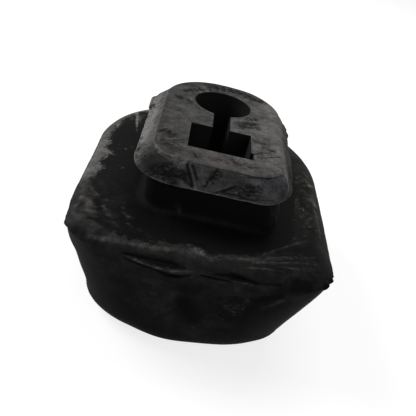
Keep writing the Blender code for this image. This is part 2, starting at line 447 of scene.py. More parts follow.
def fill_top(bm, rim, mouth):
    """Fills the flat top between its rim and the slot's mouth, in small faces."""
    made = bmesh.ops.triangle_fill(
        bm, edges=loop_edges(bm, rim) + loop_edges(bm, mouth), use_beauty=True)
    faces = [f for f in made["geom"] if isinstance(f, bmesh.types.BMFace)]

    def edges():
        return list(dict.fromkeys(e for f in faces for e in f.edges))

    for axis in (Vector((1, 0, 0)), Vector((0, 1, 0))):
        steps = int(max(abs(v.co.dot(axis)) for f in faces for v in f.verts) / FILL_SPACING)
        for step in range(-steps, steps + 1):
            place = axis * (step + FILL_SHIFT) * FILL_SPACING
            cut = bmesh.ops.bisect_plane(
                bm, geom=edges() + faces, plane_co=place, plane_no=axis, dist=1e-6)["geom"]
            faces = [f for f in cut if isinstance(f, bmesh.types.BMFace) and f.is_valid]
    faces = bmesh.ops.triangulate(bm, faces=faces)["faces"]
    bmesh.ops.dissolve_degenerate(bm, dist=FILL_SHORTEST, edges=edges())
    faces = [f for f in faces if f.is_valid]
    bmesh.ops.subdivide_edges(bm, edges=edges(), cuts=FILL_CUTS)


# Scratches, rubs, specks, painted highlights and painted shade, eight numbers each:
# how much lighter or darker, in hundredths, how far it reaches from its line, in
# hundredths of a millimetre, where the line starts and how far it runs, X, Y and Z each, in tenths
# of one
MARKS = (
    # on the head's top
    -42, 25, -118, -279, 409, 33, 19, 0,   12, 25, -124, -275, 409, 41, 27, 0,
    -50, 31, 118, -250, 409, 24, 13, 0,   -30, 31, 101, -264, 409, 17, 13, 0,
    -20, 31, 89, -263, 409, 13, 7, 0,   10, 42, 97, -250, 409, 50, 31, 0,
    -16, 112, 104, -216, 409, 19, 4, 0,   -24, 31, 81, -253, 409, 10, 8, 0,
    -22, 36, 92, -242, 409, 15, 11, 0,   -14, 98, 87, -185, 409, 27, 0, 0,
    -16, 126, 41, -105, 409, 43, 23, 0,   -12, 98, 71, -55, 409, 18, 1, 0,
    -14, 105, -122, -11, 409, 12, -15, 0,   -14, 36, -95, -20, 409, 7, -10, 0,
    25, 26, -89, -6, 409, 8, -17, 0,   -24, 84, -107, 32, 409, 15, 19, 0,
    -40, 42, -71, 75, 409, 10, -12, 0,   -24, 42, -83, 63, 409, 8, -14, 0,
    22, 84, -61, 96, 409, 16, -28, 0,   20, 31, -71, 59, 409, 8, -17, 0,
    -34, 47, -57, -312, 409, 4, -12, 0,   -34, 36, -53, -327, 409, 7, 1, 0,
    -22, 31, -63, -304, 409, 5, 2, 0,   -20, 31, -25, -320, 409, 6, 3, 0,
    -20, 36, -14, -324, 409, 9, 1, 0,   -26, 31, 18, -306, 409, 13, 7, 0,
    -30, 26, 31, -300, 409, 8, -16, 0,   -26, 26, 15, -322, 409, 7, -4, 0,
    -30, 26, 40, -318, 409, 9, -2, 0,   -26, 26, 49, -316, 409, 14, 12, 0,
    -24, 26, 47, -333, 409, 14, 2, 0,   -20, 31, 70, -318, 409, 14, 5, 0,
    14, 31, 20, -313, 409, 11, -13, 0,   -9, 140, -134, -239, 409, 21, -8, 0,
    -6, 112, -115, -234, 409, 16, -13, 0,   14, 26, -135, -220, 409, 10, -8, 0,
    12, 26, -120, -231, 409, 21, -16, 0,   16, 31, -143, -275, 409, 9, -13, 0,
    -16, 84, -130, -301, 409, 13, 4, 0,   -26, 31, -109, -286, 409, 26, 17, 0,
    -12, 112, -111, -314, 409, 24, 7, 0,   20, 26, -121, -74, 409, 18, -5, 0,
    -10, 98, -113, -104, 409, 23, 0, 0,   -10, 98, -138, -155, 409, 20, -7, 0,
    # behind the bore
    -32, 36, -44, 103, 409, 7, -30, 0,   16, 25, -33, 122, 409, 7, -42, 0,
    -40, 36, -24, 120, 409, 6, -27, 0,   20, 26, -13, 127, 409, 4, -44, 0,
    -40, 36, -3, 126, 409, 6, -28, 0,   20, 26, 8, 125, 409, -2, -40, 0,
    -36, 36, 20, 124, 409, 6, -27, 0,   -40, 42, 37, 120, 409, 12, -16, 0,
    16, 25, 31, 124, 409, 6, -27, 0,   -40, 42, 58, 113, 409, 17, -16, 0,
    -32, 36, 75, 75, 409, 20, 1, 0,   -30, 36, 99, 100, 409, 14, -17, 0,
    14, 26, 49, 89, 409, 26, -7, 0,
    # on the head's flank
    -42, 47, -68, -357, 402, 10, -19, -9,   -42, 52, -58, -376, 393, 10, -22, -16,
    -36, 31, -64, -374, 394, 9, -10, -7,   20, 29, -62, -358, 402, 13, -27, -15,
    30, 26, -49, -385, 387, 9, -17, -12,   -44, 39, -56, -356, 403, 8, -14, -6,
    -46, 44, -48, -370, 397, 7, -13, -9,   -16, 84, -118, -364, 395, 17, 0, 4,
    -14, 42, -123, -368, 391, 12, -1, 3,   12, 26, -120, -373, 390, 27, 3, 6,
    -20, 126, -115, -382, 385, 12, -2, 1,   -18, 119, -108, -391, 381, 15, 5, 5,
    -20, 47, -102, -379, 389, 12, 1, 2,   -16, 31, -120, -378, 387, 12, -1, 1,
    -20, 26, -103, -386, 385, 17, 1, 1,   16, 31, -96, -383, 387, 5, -1, 0,
    -22, 42, -111, -396, 377, 17, 0, 2,   -24, 112, -76, -375, 393, 8, -7, -4,
    -22, 47, -76, -388, 384, 14, 0, 0,   -30, 47, -64, -392, 382, 12, -6, -4,
    -20, 31, -85, -388, 384, 7, 5, 4,   14, 112, -88, -363, 400, 14, 0, 0,
    -20, 42, -139, -372, 384, 9, -12, -4,   -16, 42, -133, -364, 390, 7, -9, -2,
    10, 47, -78, -400, 377, 21, -1, -1,   10, 26, -122, -392, 378, 39, -6, 0,
    10, 182, -36, -364, 399, 16, -5, -2,   8, 140, -37, -380, 389, 9, -2, -1,
    -36, 31, -2, -354, 404, -6, -13, -6,   -38, 31, -8, -367, 398, -5, -9, -6,
    -36, 31, -13, -376, 392, -7, -8, -5,   -20, 26, 3, -356, 403, -2, -12, -5,
    -22, 26, -3, -370, 396, -3, -7, -4,   -20, 26, 9, -358, 402, -2, -9, -4,
    -30, 31, -17, -387, 385, -4, -5, -3,   -24, 31, -8, -381, 389, 3, -5, -3,
    -30, 31, -21, -393, 381, -4, -3, -2,   12, 26, 4, -362, 401, -20, -30, -19,
    -34, 36, 4, -401, 376, 16, 8, 5,   -40, 47, 20, -394, 380, 14, 8, 6,
    -34, 36, 34, -386, 386, 9, 6, 4,   -30, 36, 16, -399, 377, 24, 1, 1,
    12, 26, 2, -398, 377, 41, 21, 15,   -8, 42, 44, -385, 387, 7, -8, -6,
    14, 42, 40, -390, 383, 6, -3, -2,   -28, 31, 40, -398, 378, 22, -1, -1,
    -22, 91, 70, -376, 392, 8, -1, 0,   -16, 47, 64, -373, 395, 9, 3, 1,
    -22, 42, 71, -385, 386, 16, 2, 2,   -12, 42, 77, -370, 396, 8, -3, -2,
    -26, 29, 56, -401, 376, 35, 2, 1,   -22, 26, 90, -399, 377, 40, 11, 1,
    -22, 31, 61, -391, 382, 17, -1, 0,   10, 42, 64, -395, 379, 13, -2, -1,
    12, 84, 76, -362, 400, 18, 3, 1,   6, 168, 108, -369, 395, 29, 11, -3,
    8, 84, 108, -384, 385, 35, 14, -2,   10, 47, 5, -373, 395, 37, 3, 1,
    -12, 98, 53, -374, 394, 2, 7, 4,   -14, 47, 92, -370, 396, 8, -6, -4,
    -34, 42, -181, -229, 377, 1, -15, 1,   -34, 42, -180, -287, 379, 1, -15, 1,
    -34, 36, -179, -321, 378, 2, -11, 0,   -30, 36, -182, -259, 377, 1, -9, 0,
    -34, 36, -177, -43, 381, 3, -24, 4,   -30, 31, -179, -77, 379, 4, -21, 5,
    -30, 31, -199, 114, 278, 14, -198, 95,   -26, 31, -177, -113, 382, 1, 15, 1,
    -30, 31, -183, -60, 376, 2, -10, 1,
    # along the edges: painted highlights on the top's edge and down the right front corner, a
    # painted shadow under the top's front edge at the right, and light lines about the lip
    22, 57, -143, -312, 407, 12, -19, -3,   22, 57, -131, -331, 404, 18, -15, 0,
    18, 112, -104, -350, 404, 29, -3, 0,   14, 42, -102, -349, 405, 44, -3, 0,
    12, 36, -58, -351, 405, 49, -1, 0,   10, 36, -9, -351, 405, 68, -2, -1,
    14, 42, -146, -301, 408, 7, -20, -3,   -22, 26, -111, -344, 405, 26, -5, 3,
    -18, 26, -85, -349, 408, 26, -1, 0,   -20, 26, 66, -356, 403, 45, 11, 1,
    -26, 26, 111, -345, 404, 36, 31, -1,   18, 26, 87, -403, 372, 50, 47, -28,
    22, 31, 137, -356, 344, 52, 129, -66,   12, 26, -39, -403, 373, 126, 0, -1,
    16, 26, -139, -354, 347, 100, -49, 26,   18, 57, 151, -273, 407, 6, -31, -7,
    26, 84, 157, -304, 400, 11, -18, -12,   26, 84, 168, -322, 388, 2, -14, -6,
    16, 52, 170, -336, 382, -4, -17, -3,   16, 36, 158, -188, 401, -7, -85, 6,
    # flank: painted shade on its soft dark front left corner, and a light mark on the band below
    -16, 224, -177, -288, 381, 21, -56, 7,   -10, 182, -176, -264, 382, 8, -50, 8,
    3, 210, -55, -515, 251, 50, 2, 3,
    # torn ridge at the right
    -12, 84, 283, -455, 255, -13, -21, -4,   -12, 84, 270, -476, 251, -12, -4, -18,
    # fan at the front right
    16, 26, 133, -449, 278, 23, 22, 0,   22, 26, 156, -427, 278, 21, 18, 0,
    30, 29, 177, -409, 278, 36, 29, 0,   30, 29, 213, -380, 278, 31, 20, 0,
    16, 26, 136, -461, 278, 34, 9, 0,   16, 26, 170, -449, 278, 79, 28, 0,
    16, 26, 178, -428, 278, 31, 15, 0,   14, 26, 194, -430, 278, 52, 18, 0,
    24, 47, 111, -480, 276, 23, 6, 1,   22, 36, 134, -474, 277, 58, 17, 1,
    22, 31, 192, -457, 278, 60, 16, -1,   20, 36, 100, -494, 271, 39, 5, 2,
    18, 31, 139, -489, 273, 39, 2, 1,   12, 84, 82, -477, 277, 52, 13, 1,
    18, 31, 139, -456, 278, 68, 25, 0,   14, 26, 207, -431, 278, 43, 12, 0,
    12, 31, 147, -475, 277, 66, 2, 0,   12, 42, 90, -479, 277, 22, 9, 1,
    -16, 105, 169, -429, 278, 51, 33, 0,   -14, 84, 209, -413, 278, 40, 33, 0,
    -12, 47, 152, -446, 278, 96, 36, 0,   -12, 52, 147, -480, 276, 67, 20, 2,
    -14, 84, 158, -488, 274, 33, 4, 1,   12, 42, 191, -474, 277, 50, 13, -2,
    -10, 47, 129, -466, 278, 10, 12, 0,
    # on the left shoulder
    40, 47, -230, 95, 277, 13, -78, 1,   36, 91, -221, 95, 278, 2, -38, 0,
    30, 57, -211, 107, 278, 0, -21, 0,   30, 47, -267, 1, 276, 8, 16, 1,
    16, 91, -280, -324, 272, 0, -52, 0,   14, 91, -280, -376, 272, -1, -51, -4,
    -12, 126, -264, -334, 277, 3, -34, 0,   -10, 98, -264, -434, 275, 12, -9, 1,
    -14, 47, -246, -449, 277, 24, -4, 1,   50, 52, -230, 114, 275, 11, -78, 3,
    40, 36, -219, 36, 278, 6, -43, 0,   30, 36, -216, 79, 278, 6, -31, 0,
    30, 42, -237, 54, 278, -1, 49, -3,   62, 36, -225, -122, 278, 2, 1, 0,
    50, 31, -211, -104, 278, 2, 1, 0,   62, 36, -216, -220, 278, 3, 1, 0,
    30, 29, -235, -239, 278, 0, 0, 0,   40, 47, -270, 2, 275, 6, 14, 1,
    20, 42, -257, 38, 277, 22, 24, 1,   20, 52, -269, -330, 276, 18, -22, 2,
    16, 84, -258, -359, 278, 13, -8, 0,   26, 42, -228, -368, 278, 6, -2, 0,
    20, 112, -271, -377, 275, 19, -29, 3,   26, 47, -226, -392, 278, 7, -14, 0,
    22, 105, -215, -408, 278, 14, -22, 0,   28, 57, -178, -405, 278, 12, -15, 0,
    20, 98, -257, -423, 277, 27, -3, 1,   20, 42, -164, -412, 278, 8, -5, 0,
    30, 36, -139, -451, 278, 6, -6, 0,   20, 42, -161, -441, 278, 6, -9, 0,
    24, 52, -194, -446, 278, 11, -11, 0,   14, 36, -121, -460, 278, 10, -10, 0,
    30, 31, -212, -368, 278, 3, -1, 0,   -22, 52, -244, -448, 277, 22, 3, 1,
    -18, 84, -224, -454, 278, 23, -9, 0,   -20, 84, -245, -379, 278, 13, -28, 0,
    -16, 112, -273, -406, 274, 3, 20, 2,
    # on the right shoulder
    30, 31, 238, -71, 278, 13, 14, 0,   28, 31, 233, -100, 278, 12, 10, 0,
    53, 26, 225, -189, 278, 11, 8, 0,   55, 26, 222, -205, 278, 13, 7, 0,
    50, 26, 222, -220, 278, 11, 7, 0,   45, 47, 270, -96, 276, 20, 18, -10,
    55, 31, 243, -222, 278, 1, -11, 0,   43, 26, 253, -209, 278, 9, 9, -1,
    40, 26, 233, -262, 278, 11, 6, 0,   55, 26, 246, -275, 278, 10, 7, 0,
    50, 26, 242, -286, 278, 10, 3, 0,   30, 26, 234, -306, 278, 24, 12, 0,
    33, 26, 236, -326, 278, 19, 9, 0,   43, 26, 205, -365, 278, 5, 5, 0,
    30, 31, 258, -105, 278, 17, 18, -4,   33, 26, 244, -135, 278, 11, 9, 0,
    30, 26, 256, -152, 278, 9, 8, -1,   30, 26, 236, -245, 278, 5, -3, 0,
    33, 42, 278, -170, 273, 3, -16, -2,   25, 47, 274, -216, 274, 11, -12, -5,
    20, 47, 278, -254, 273, 0, -43, 0,   25, 26, 206, -276, 278, 10, 8, 0,
    25, 36, 250, -130, 278, 10, -10, -1,   20, 36, 257, -161, 278, 8, -11, -1,
    20, 42, 246, -246, 278, 9, 13, 0,   30, 42, 263, -25, 277, 10, -19, -2,
    20, 112, 267, -66, 276, 7, -27, -2,   18, 105, 271, -166, 275, 7, -19, -2,
    18, 91, 273, -222, 275, 7, -16, -3,   -16, 112, 241, -158, 278, 0, -58, 0,
    -16, 126, 259, -88, 277, 4, -24, 0,   -14, 112, 248, -204, 278, 16, -25, -1,
    -14, 98, 252, -308, 278, 14, -14, -1,
    # on the neck: painted highlights down its right front corner and along its foot in front, and
    # painted shade on the fillet at its left foot
    20, 31, 125, -364, 349, 6, 2, -22,   16, 26, 131, -361, 348, 6, 3, -22,
    30, 36, 139, -355, 345, 4, 3, -28,   24, 36, 143, -352, 317, 6, 5, -30,
    8, 126, 132, -362, 322, 5, 2, -26,   20, 36, 189, -281, 278, 7, -3, 0,
    -5, 84, 183, -292, 278, 5, -19, 0,   14, 91, -71, -370, 304, 6, -1, -9,
    12, 42, -65, -371, 295, 7, -2, -10,   5, 105, -116, -376, 281, 28, -4, -2,
    4, 105, 76, -380, 279, 40, -9, -1,   -6, 84, -158, -332, 281, 19, -39, -2,
    -6, 84, -139, -371, 279, 23, -15, -1,
    # on the band and below: painted shade in the folds and painted highlights along them, among
    # the band's streaks and the lower body's clouds
    12, 52, -131, -515, 247, 26, 0, -6,   12, 52, -105, -515, 241, 19, 0, -3,
    12, 57, -86, -515, 238, 34, 0, -1,   12, 52, -52, -515, 237, 34, 0, 8,
    14, 168, 274, -144, 274, 5, -35, -1,   12, 168, 271, -242, 275, 2, -66, 0,
    10, 154, 271, -327, 275, 4, -51, -1,   -12, 350, 135, -500, 101, 35, 4, 30,
    -13, 280, 170, -496, 131, 21, -4, 51,   -8, 168, 195, -500, 186, 16, -3, 34,
    -13, 126, 132, -514, 203, 19, 0, 9,   -13, 112, 151, -514, 212, 30, 0, 18,
    9, 84, 154, -511, 185, 14, 0, 13,   10, 57, 168, -511, 198, 25, 2, 21,
    8, 140, 206, -507, 228, 18, 14, -19,   7, 112, 202, -503, 205, 18, 14, -17,
    -12, 280, 108, -512, 140, 41, 4, 16,   -10, 210, 128, -505, 117, 28, 12, -18,
    -5, 315, -11, -514, 157, 35, 0, 1,   -5, 280, 0, -514, 127, 28, 0, -5,
    -10, 280, -188, -487, 128, 24, -2, -30,   -10, 315, -164, -489, 98, 33, -2, -42,
    -10, 252, -135, -500, 101, 28, 1, -44,   6, 168, 109, -515, 205, 20, 1, -9,
    6, 140, 137, -514, 198, 15, 1, -6,   7, 182, 37, -514, 131, 27, 1, -11,
    6, 210, -91, -514, 143, 30, 0, -21,   -14, 112, 206, -503, 262, 31, 7, -4,
    7, 112, 190, -510, 258, 11, 10, 8,   -10, 98, 103, -515, 230, 30, 0, -1,
    6, 210, -70, -514, 194, 28, 0, -13,   5, 168, 76, -514, 181, 25, 0, -11,
    -7, 154, 53, -514, 166, 21, 0, -12,   20, 84, -26, -473, 277, 15, -2, 0,
    22, 84, -11, -475, 277, 14, -7, -1,   18, 84, 3, -482, 276, 18, -11, -4,
    8, 140, -24, -487, 274, 26, -5, -2,   12, 112, 22, -486, 275, 60, 10, 2,
    -12, 52, -25, -463, 278, 26, 0, 0,   16, 84, -252, -487, 258, 49, -9, 10,
    18, 84, -203, -496, 268, 57, 2, 3,   18, 84, -146, -495, 270, 72, 4, 3,
    14, 84, -74, -491, 273, 67, 6, 2,   -14, 42, -151, -472, 277, 17, -4, 0,
    -12, 42, -77, -471, 278, 25, 1, 0,   10, 31, -146, -515, 251, 24, 0, -7,
    22, 31, -133, -515, 247, 17, 0, -5,   12, 31, -116, -515, 242, 34, 0, -4,
    22, 31, -82, -515, 238, 26, 0, -1,   14, 31, -56, -515, 237, 46, 0, 10,
    -26, 31, -158, -512, 256, 36, -1, -2,   -30, 47, -122, -513, 254, 46, -2, -2,
    -32, 84, -84, -515, 251, 37, 0, 1,   -28, 42, -51, -515, 251, 21, 0, 1,
    -22, 26, -154, -515, 245, 33, 0, -8,   -24, 29, -121, -515, 237, 42, 0, -6,
    -30, 47, -79, -515, 231, 19, 0, -7,   -32, 57, -62, -515, 224, 25, 0, 2,
    -28, 42, -37, -515, 226, 21, 0, 9,   -30, 31, 7, -515, 242, 31, 0, -2,
    -24, 29, 38, -515, 240, 34, 0, 1,   12, 26, 33, -515, 235, 30, 0, -1,
    -26, 42, 37, -514, 252, 33, 2, 4,   -34, 84, 68, -512, 255, 27, -2, -3,
    -32, 52, 95, -514, 252, 28, -1, -1,   16, 36, 73, -515, 244, 43, 0, 1,
    -14, 42, 123, -515, 250, 50, 4, 7,   -11, 238, -162, -498, 127, 32, -3, -30,
    -12, 224, -135, -500, 101, 29, -6, -12,   -8, 182, -175, -489, 116, 23, -12, 11,
    -12, 224, -10, -514, 154, 31, 0, -21,   -9, 168, -3, -514, 120, 25, 1, -12,
    -8, 42, -113, -514, 187, 23, 0, 3,   -8, 42, -90, -514, 188, 20, 0, -3,
    8, 52, -104, -514, 166, 34, 0, 4,   5, 112, -147, -500, 116, 25, -4, -14,
    6, 210, -50, -514, 155, 23, 1, -48,   5, 182, -66, -514, 151, 17, 1, -51,
    5, 224, 7, -513, 91, 35, 1, -17,   4, 210, -224, -489, 195, 35, -11, -21,
    4, 210, -156, -513, 200, 31, -1, -7,   5, 182, 28, -514, 189, 38, 0, -2,
    5, 182, 30, -514, 110, 37, 1, -3,   5, 154, 87, -515, 223, 59, 0, -7,
    -16, 182, 198, -506, 262, 27, 4, -5,   -10, 140, 176, -514, 252, 42, 5, -2,
    -10, 140, 214, -495, 268, 33, 12, -4,   7, 98, 205, -495, 269, 32, 9, -3,
    -10, 112, 147, -515, 225, 30, 0, 16,   12, 47, 169, -510, 194, 27, -2, 43,
    -10, 98, 160, -514, 213, 22, 0, 20,   -10, 126, 187, -503, 183, 16, -3, 34,
    8, 112, 212, -502, 216, 10, -2, 23,   -15, 182, 130, -510, 144, 36, 6, 17,
    -15, 168, 106, -507, 96, 33, 6, 13,   -10, 182, 133, -513, 182, 28, 0, 25,
    -8, 126, 57, -514, 185, 37, 0, 10,   -8, 112, 165, -502, 148, 16, 1, 23,
    -8, 84, 66, -512, 100, 26, 3, -2,   10, 36, 112, -514, 177, 14, 0, 15,
    10, 36, 108, -514, 160, 17, 2, -7,   10, 36, 59, -514, 143, 14, 0, -5,
    8, 36, 77, -514, 160, 18, 0, -1,   10, 36, 94, -513, 127, 10, 5, -27,
    8, 36, 101, -513, 142, 13, 2, -5,   8, 36, 77, -514, 176, 17, 0, 2,
    10, 31, 115, -514, 201, 12, 0, -5,   8, 31, 146, -504, 133, 12, 2, 8,
    -14, 140, -269, -469, 259, 21, -19, 1,   -6, 112, -221, -504, 235, 52, -11, 6,
    6, 210, -281, -441, 264, 46, -34, 8,
)

# Rubbed patches, stains and bluish places under the layer that they are painted
# in, each with its strength, reach and line in the same units as a mark's
PATCHES = {
    "scuff": (
        90, 220, -134, -232, 409, 20, -14, 0,   80, 180, -116, -254, 409, 18, -10, 0,
        60, 160, -128, -286, 409, 38, -8, 0,   90, 170, 104, -204, 409, 22, -8, 0,
        80, 160, 88, -244, 409, 36, 14, 0,   70, 130, 82, -180, 409, 32, -6, 0,
        100, 200, 46, -94, 409, 40, 12, 0,   100, 160, 54, -114, 409, 36, 8, 0,
        90, 150, 70, -60, 409, 18, 6, 0,   90, 140, -122, -16, 409, 12, -10, 0,
        80, 140, -96, -24, 409, 10, -12, 0,   90, 150, -108, 32, 409, 20, 16, 0,
        90, 140, -76, 54, 409, 16, 16, 0,   90, 240, -42, 110, 409, 82, 0, 0,
        100, 200, 40, 104, 409, 60, -26, 0,   50, 200, -40, -315, 409, 120, -3, 0,
        70, 240, -115, -380, 388, 35, -5, 0,   70, 200, -15, -378, 389, 11, 13, 9,
        50, 240, 50, -390, 383, 35, 8, 5,   40, 500, 90, -515, 170, 70, 5, 20,
        36, 400, 180, -495, 120, -40, -10, -30,   36, 300, 190, -495, 200, 30, 10, -10,
        30, 400, -155, -497, 110, 45, -8, -30,   30, 450, 253, -360, 100, 27, 60, 80,
        34, 400, 255, -140, 100, 19, 80, 60,   34, 450, -255, -300, 100, -25, 80, 80,
        30, 400, -255, -80, 100, -17, 100, 80,   36, 450, -80, 206, 80, 120, 30, 80,
        30, 400, 150, 185, 140, 40, -10, 40,   30, 400, -190, 160, 120, -20, 15, 80,
        26, 400, 0, -514, 135, 20, 0, -45,   80, 300, -134, -380, 388, 44, -8, -6,
        50, 260, -165, -340, 386, -5, 60, 0,   60, 300, 190, -420, 278, 50, 10, 0,
        50, 300, 180, -460, 278, 60, 10, 0,
    ),
    "brown": (
        60, 500, 260, -300, 120, 10, 100, 20,   60, 500, -60, 215, 100, 120, 19, 60,
        80, 300, 180, -496, 150, 25, 10, 10,   70, 300, 140, -495, 270, 100, 40, 2,
        100, 300, -120, -300, 409, 35, -5, 0,   90, 240, -40, -320, 409, 130, -5, 0,
        80, 200, -150, -40, 406, -3, -230, 0,   60, 300, -140, -380, 380, 60, -20, 0,
        60, 200, 160, -240, 400, -5, 200, 0,   70, 500, -160, -440, 278, -80, 40, 0,
        50, 600, -200, -300, 278, 0, 180, 0,   50, 500, 190, -420, 278, 30, 180, 0,
    ),
    "cool": (
        60, 500, -260, -200, 120, -10, 120, 40,   100, 450, 100, -375, 390, 50, 35, 0,
        70, 350, -40, -380, 390, 20, 0, 0,   80, 400, -200, -495, 250, -60, 35, -10,
        90, 400, 170, -510, 250, 70, 15, 10,
    ),
    "olive": (
        100, 500, 260, -60, 278, 10, -280, 0,   70, 500, -250, 40, 278, 40, 80, 0,
    ),
    "specks": (
        90, 350, -220, -370, 278, 70, -75, 0,   80, 300, -245, -330, 278, 25, -120, 0,
        40, 400, -230, -100, 278, 20, -160, 0,   100, 350, 260, -80, 278, -10, -250, 0,
        70, 240, 226, -180, 278, -2, -120, 0,   60, 300, 200, -440, 278, 50, 30, 0,
        50, 400, 90, -515, 150, 60, 5, 50,   45, 400, 265, -340, 130, 9, 120, 30,
        45, 400, -260, -260, 120, -14, 140, 40,   45, 400, -100, 210, 120, 180, 16, 20,
        60, 400, -200, 140, 278, -50, -100, 0,
    ),
}

# The part of the shoulder that is still clean and black, in plan, in millimetres
CLEAN_SHOULDER = (
    (-22.6, 12.2), (-24.6, 8.6), (-26.2, 4.0), (-27.2, -0.5), (-27.5, -4.6), (-28.0, -6.6),
    (-26.8, -9.4), (-27.4, -13.4), (-25.0, -16.1), (-26.6, -18.4), (-27.6, -20.4),
    (-25.9, -23.5), (-26.9, -26.8), (-28.0, -29.0), (-26.8, -31.7), (-25.1, -34.0),
    (-24.6, -37.5), (-23.4, -41.5), (-22.5, -45.0), (-20.5, -46.8),
    (-18.1, -48.2), (-14.9, -48.6), (-11.3, -48.6),
    (-4.3, -46.8), (-0.5, -47.2), (1.8, -48.8), (8.1, -46.6), (13.2, -44.6),
    (18.6, -40.2), (20.4, -36.8), (21.5, -28.4), (22.3, -21.4), (23.0, -13.8), (23.4, -5.6),
    (23.2, 3.4), (20.0, 11.0), (12.0, 18.5), (0.0, 22.0), (-12.0, 18.5), (-18.5, 14.0))

# Tones from 0, clean black rubber, to 1, white dust; some of them also carry painted light and
# shade
CLEAN_TONE = 0.085
LOWER_TONE = 0.198


def smooth(values, low, high):
    """0 below the low end, 1 above the high end, and a smooth step between."""
    share = np.clip((values - low) / (high - low), 0, 1)
    return share * share * (3 - 2 * share)


def distance_to_line(places, start, end):
    """How far each place is from the line between two others."""
    start, end = np.array(start), np.array(end)
    along = end - start
    share = np.clip((places - start) @ along / max(along @ along, 1e-9), 0, 1)
    return np.linalg.norm(places - start - share[:, None] * along, axis=1)


def nearness(places, start, end, reach):
    """1 on the line between two places, falling to 0 at its reach."""
    return np.clip(1 - (distance_to_line(places, start, end) / reach) ** 2, 0, 1)


def strokes(table):
    """The amount, reach and two ends of every stroke in a table, in mm."""
    for row in np.reshape(table, (-1, 8)):
        start, run = row[2:5], row[5:]
        yield row[0] / 100, row[1] / 100, start / 10, (start + run) / 10


def outside(places, outline):
    """How far each place is outside a closed outline in plan, negative inside."""
    flat = places[:, :2]
    distance = np.full(len(flat), np.inf)
    inside = np.zeros(len(flat), bool)
    for (x0, y0), (x1, y1) in zip(outline, outline[1:] + outline[:1]):
        distance = np.minimum(distance, distance_to_line(flat, (x0, y0), (x1, y1)))
        crosses = (y0 > flat[:, 1]) != (y1 > flat[:, 1])
        across = x0 + (flat[:, 1] - y0) * (x1 - x0) / (y1 - y0 + 1e-12)
        inside ^= crosses & (flat[:, 0] < across)
    return np.where(inside, -distance, distance)


def plan_direction(x, y):
    """The way in plan from each place, in mm, straight to the body's widest outline."""
    front, back = y < -CORNER_FRONT / MM, y > BACK_MIDDLE / MM
    side = CORNER_SIDE / MM
    across = np.where(front, x - np.clip(x, -side, side), np.where(back, x, np.sign(x)))
    along = np.where(front, y + CORNER_FRONT / MM, np.where(back, y - BACK_MIDDLE / MM, 0))
    ways = np.column_stack((across, along))
    return ways / (np.linalg.norm(ways, axis=1, keepdims=True) + 1e-9)


def zone_tones(places, facing):
    """The tone of the clean and of the dusty rubber at each place, before any marks, with painted
    light and shade on some of its sides and edges.
    """
    x, y, z = places.T
    plan = facing[:, :2] + 0.05 * plan_direction(x, y)
    plan = plan / (np.linalg.norm(plan, axis=1, keepdims=True) + 1e-9)
    left, right = np.clip(-plan[:, 0], 0, 1), np.clip(plan[:, 0], 0, 1)
    front, back = np.clip(-plan[:, 1], 0, 1), np.clip(plan[:, 1], 0, 1)
    shoulder, top = SHOULDER_LEVEL / MM, TOP_LEVEL / MM
    lip_under = LIP_UNDER / MM

    # The lower body, with painted shade on its left- and right-facing sides
    lower = LOWER_TONE - 0.02 * left - 0.05 * right
    lower += 0.08 * smooth(z, 19, 25) * (1 - 0.7 * right)
    lower += (0.075 * rough(places, 7, 11) + 0.065 * rough(places, 2.6, 12)) * smooth(-z, -24, -20)
    lower += 0.012 * smooth(-abs(x), -14, -6)
    # Painted shade on the lower body's right-facing side, more towards the parting line
    lower -= 0.05 * right * smooth(z, 15, 24)
    # The clean shoulder's tone: lighter towards its front left corner, with painted shade towards
    # the right
    clean = CLEAN_TONE + 0.05 * smooth(-x, 13, 20) * smooth(y, -46, -36) - 0.085 * smooth(x, 8, 20)
    dusty_left = 0.33 + 0.42 * smooth(y, -32, -25) - 0.2 * smooth(y, -8, 4)
    strip = smooth(z, 26.0, 27.1) * smooth(-x, -3, 3)
    dusty_right = 0.32 - 0.10 * smooth(-y, 24, 34) + 0.10 * smooth(x, 26.4, 28.6)
    dusty_front = 0.25 + 0.06 * strip - 0.02 * smooth(x, 2, 12)
    dusty = front * dusty_front
    dusty += (1 - front) * (left * dusty_left + right * dusty_right + back * 0.45)
    grime = (0.16 * rough(places, 1.5, 13) + 0.08 * rough(places, 3.5, 14))
    grime *= smooth(-x, 14, 21) * smooth(-y, 24, 33)
    clean, dusty = clean + np.clip(grime, -0.04, 1), dusty + grime
    # The neck, with a painted highlight along the fillet at its foot, in front
    neck = 0.13 * front * lump(z, shoulder + 0.8, 1.1)
    neck = 0.09 + neck * smooth(-x, -13, -4) * smooth(x, -14, -9)
    under_top = smooth(z, 38.6, 40.2)
    # The head's flank: lighter on its left-facing side, which is painted light from the left;
    # painted shade on its front left corner; lighter on its right-facing side, with a painted
    # highlight there under the top's edge
    flank = 0.41 + (0.52 - 0.26 * under_top) * left ** 12 + 0.1 * back
    flank -= 0.10 * (2 * left * front) ** 2
    flank += (0.06 + 0.34 * under_top + 0.13 * smooth(y, -24, -18)) * right ** 3
    crown = 0.64 + 0.007 * x - 0.05 * smooth(-y, 29, 32) - 0.14 * smooth(y, 5, 9)

    tone, rim = lower.copy(), lower.copy()
    rises = smooth(z, PARTING_LEVEL / MM - 0.3, PARTING_LEVEL / MM + 0.6)
    tone += (clean - tone) * rises
    rim += (dusty - rim) * rises
    for level, value in ((shoulder + 0.05, neck), (lip_under - 0.05, flank), (top - 0.3, crown)):
        step = smooth(z, level, level + 0.25)
        tone += (value - tone) * step
        rim += (value - rim) * step

    # Light lines along the lip's lower edge, and a painted highlight along the top's edge
    lip_line_and_edge_highlight = 0.38 * lump(z, lip_under + 0.3, 0.35) + 0.25 * lump(z, top - 0.19, 0.18)
    return tone + lip_line_and_edge_highlight, rim + lip_line_and_edge_highlight


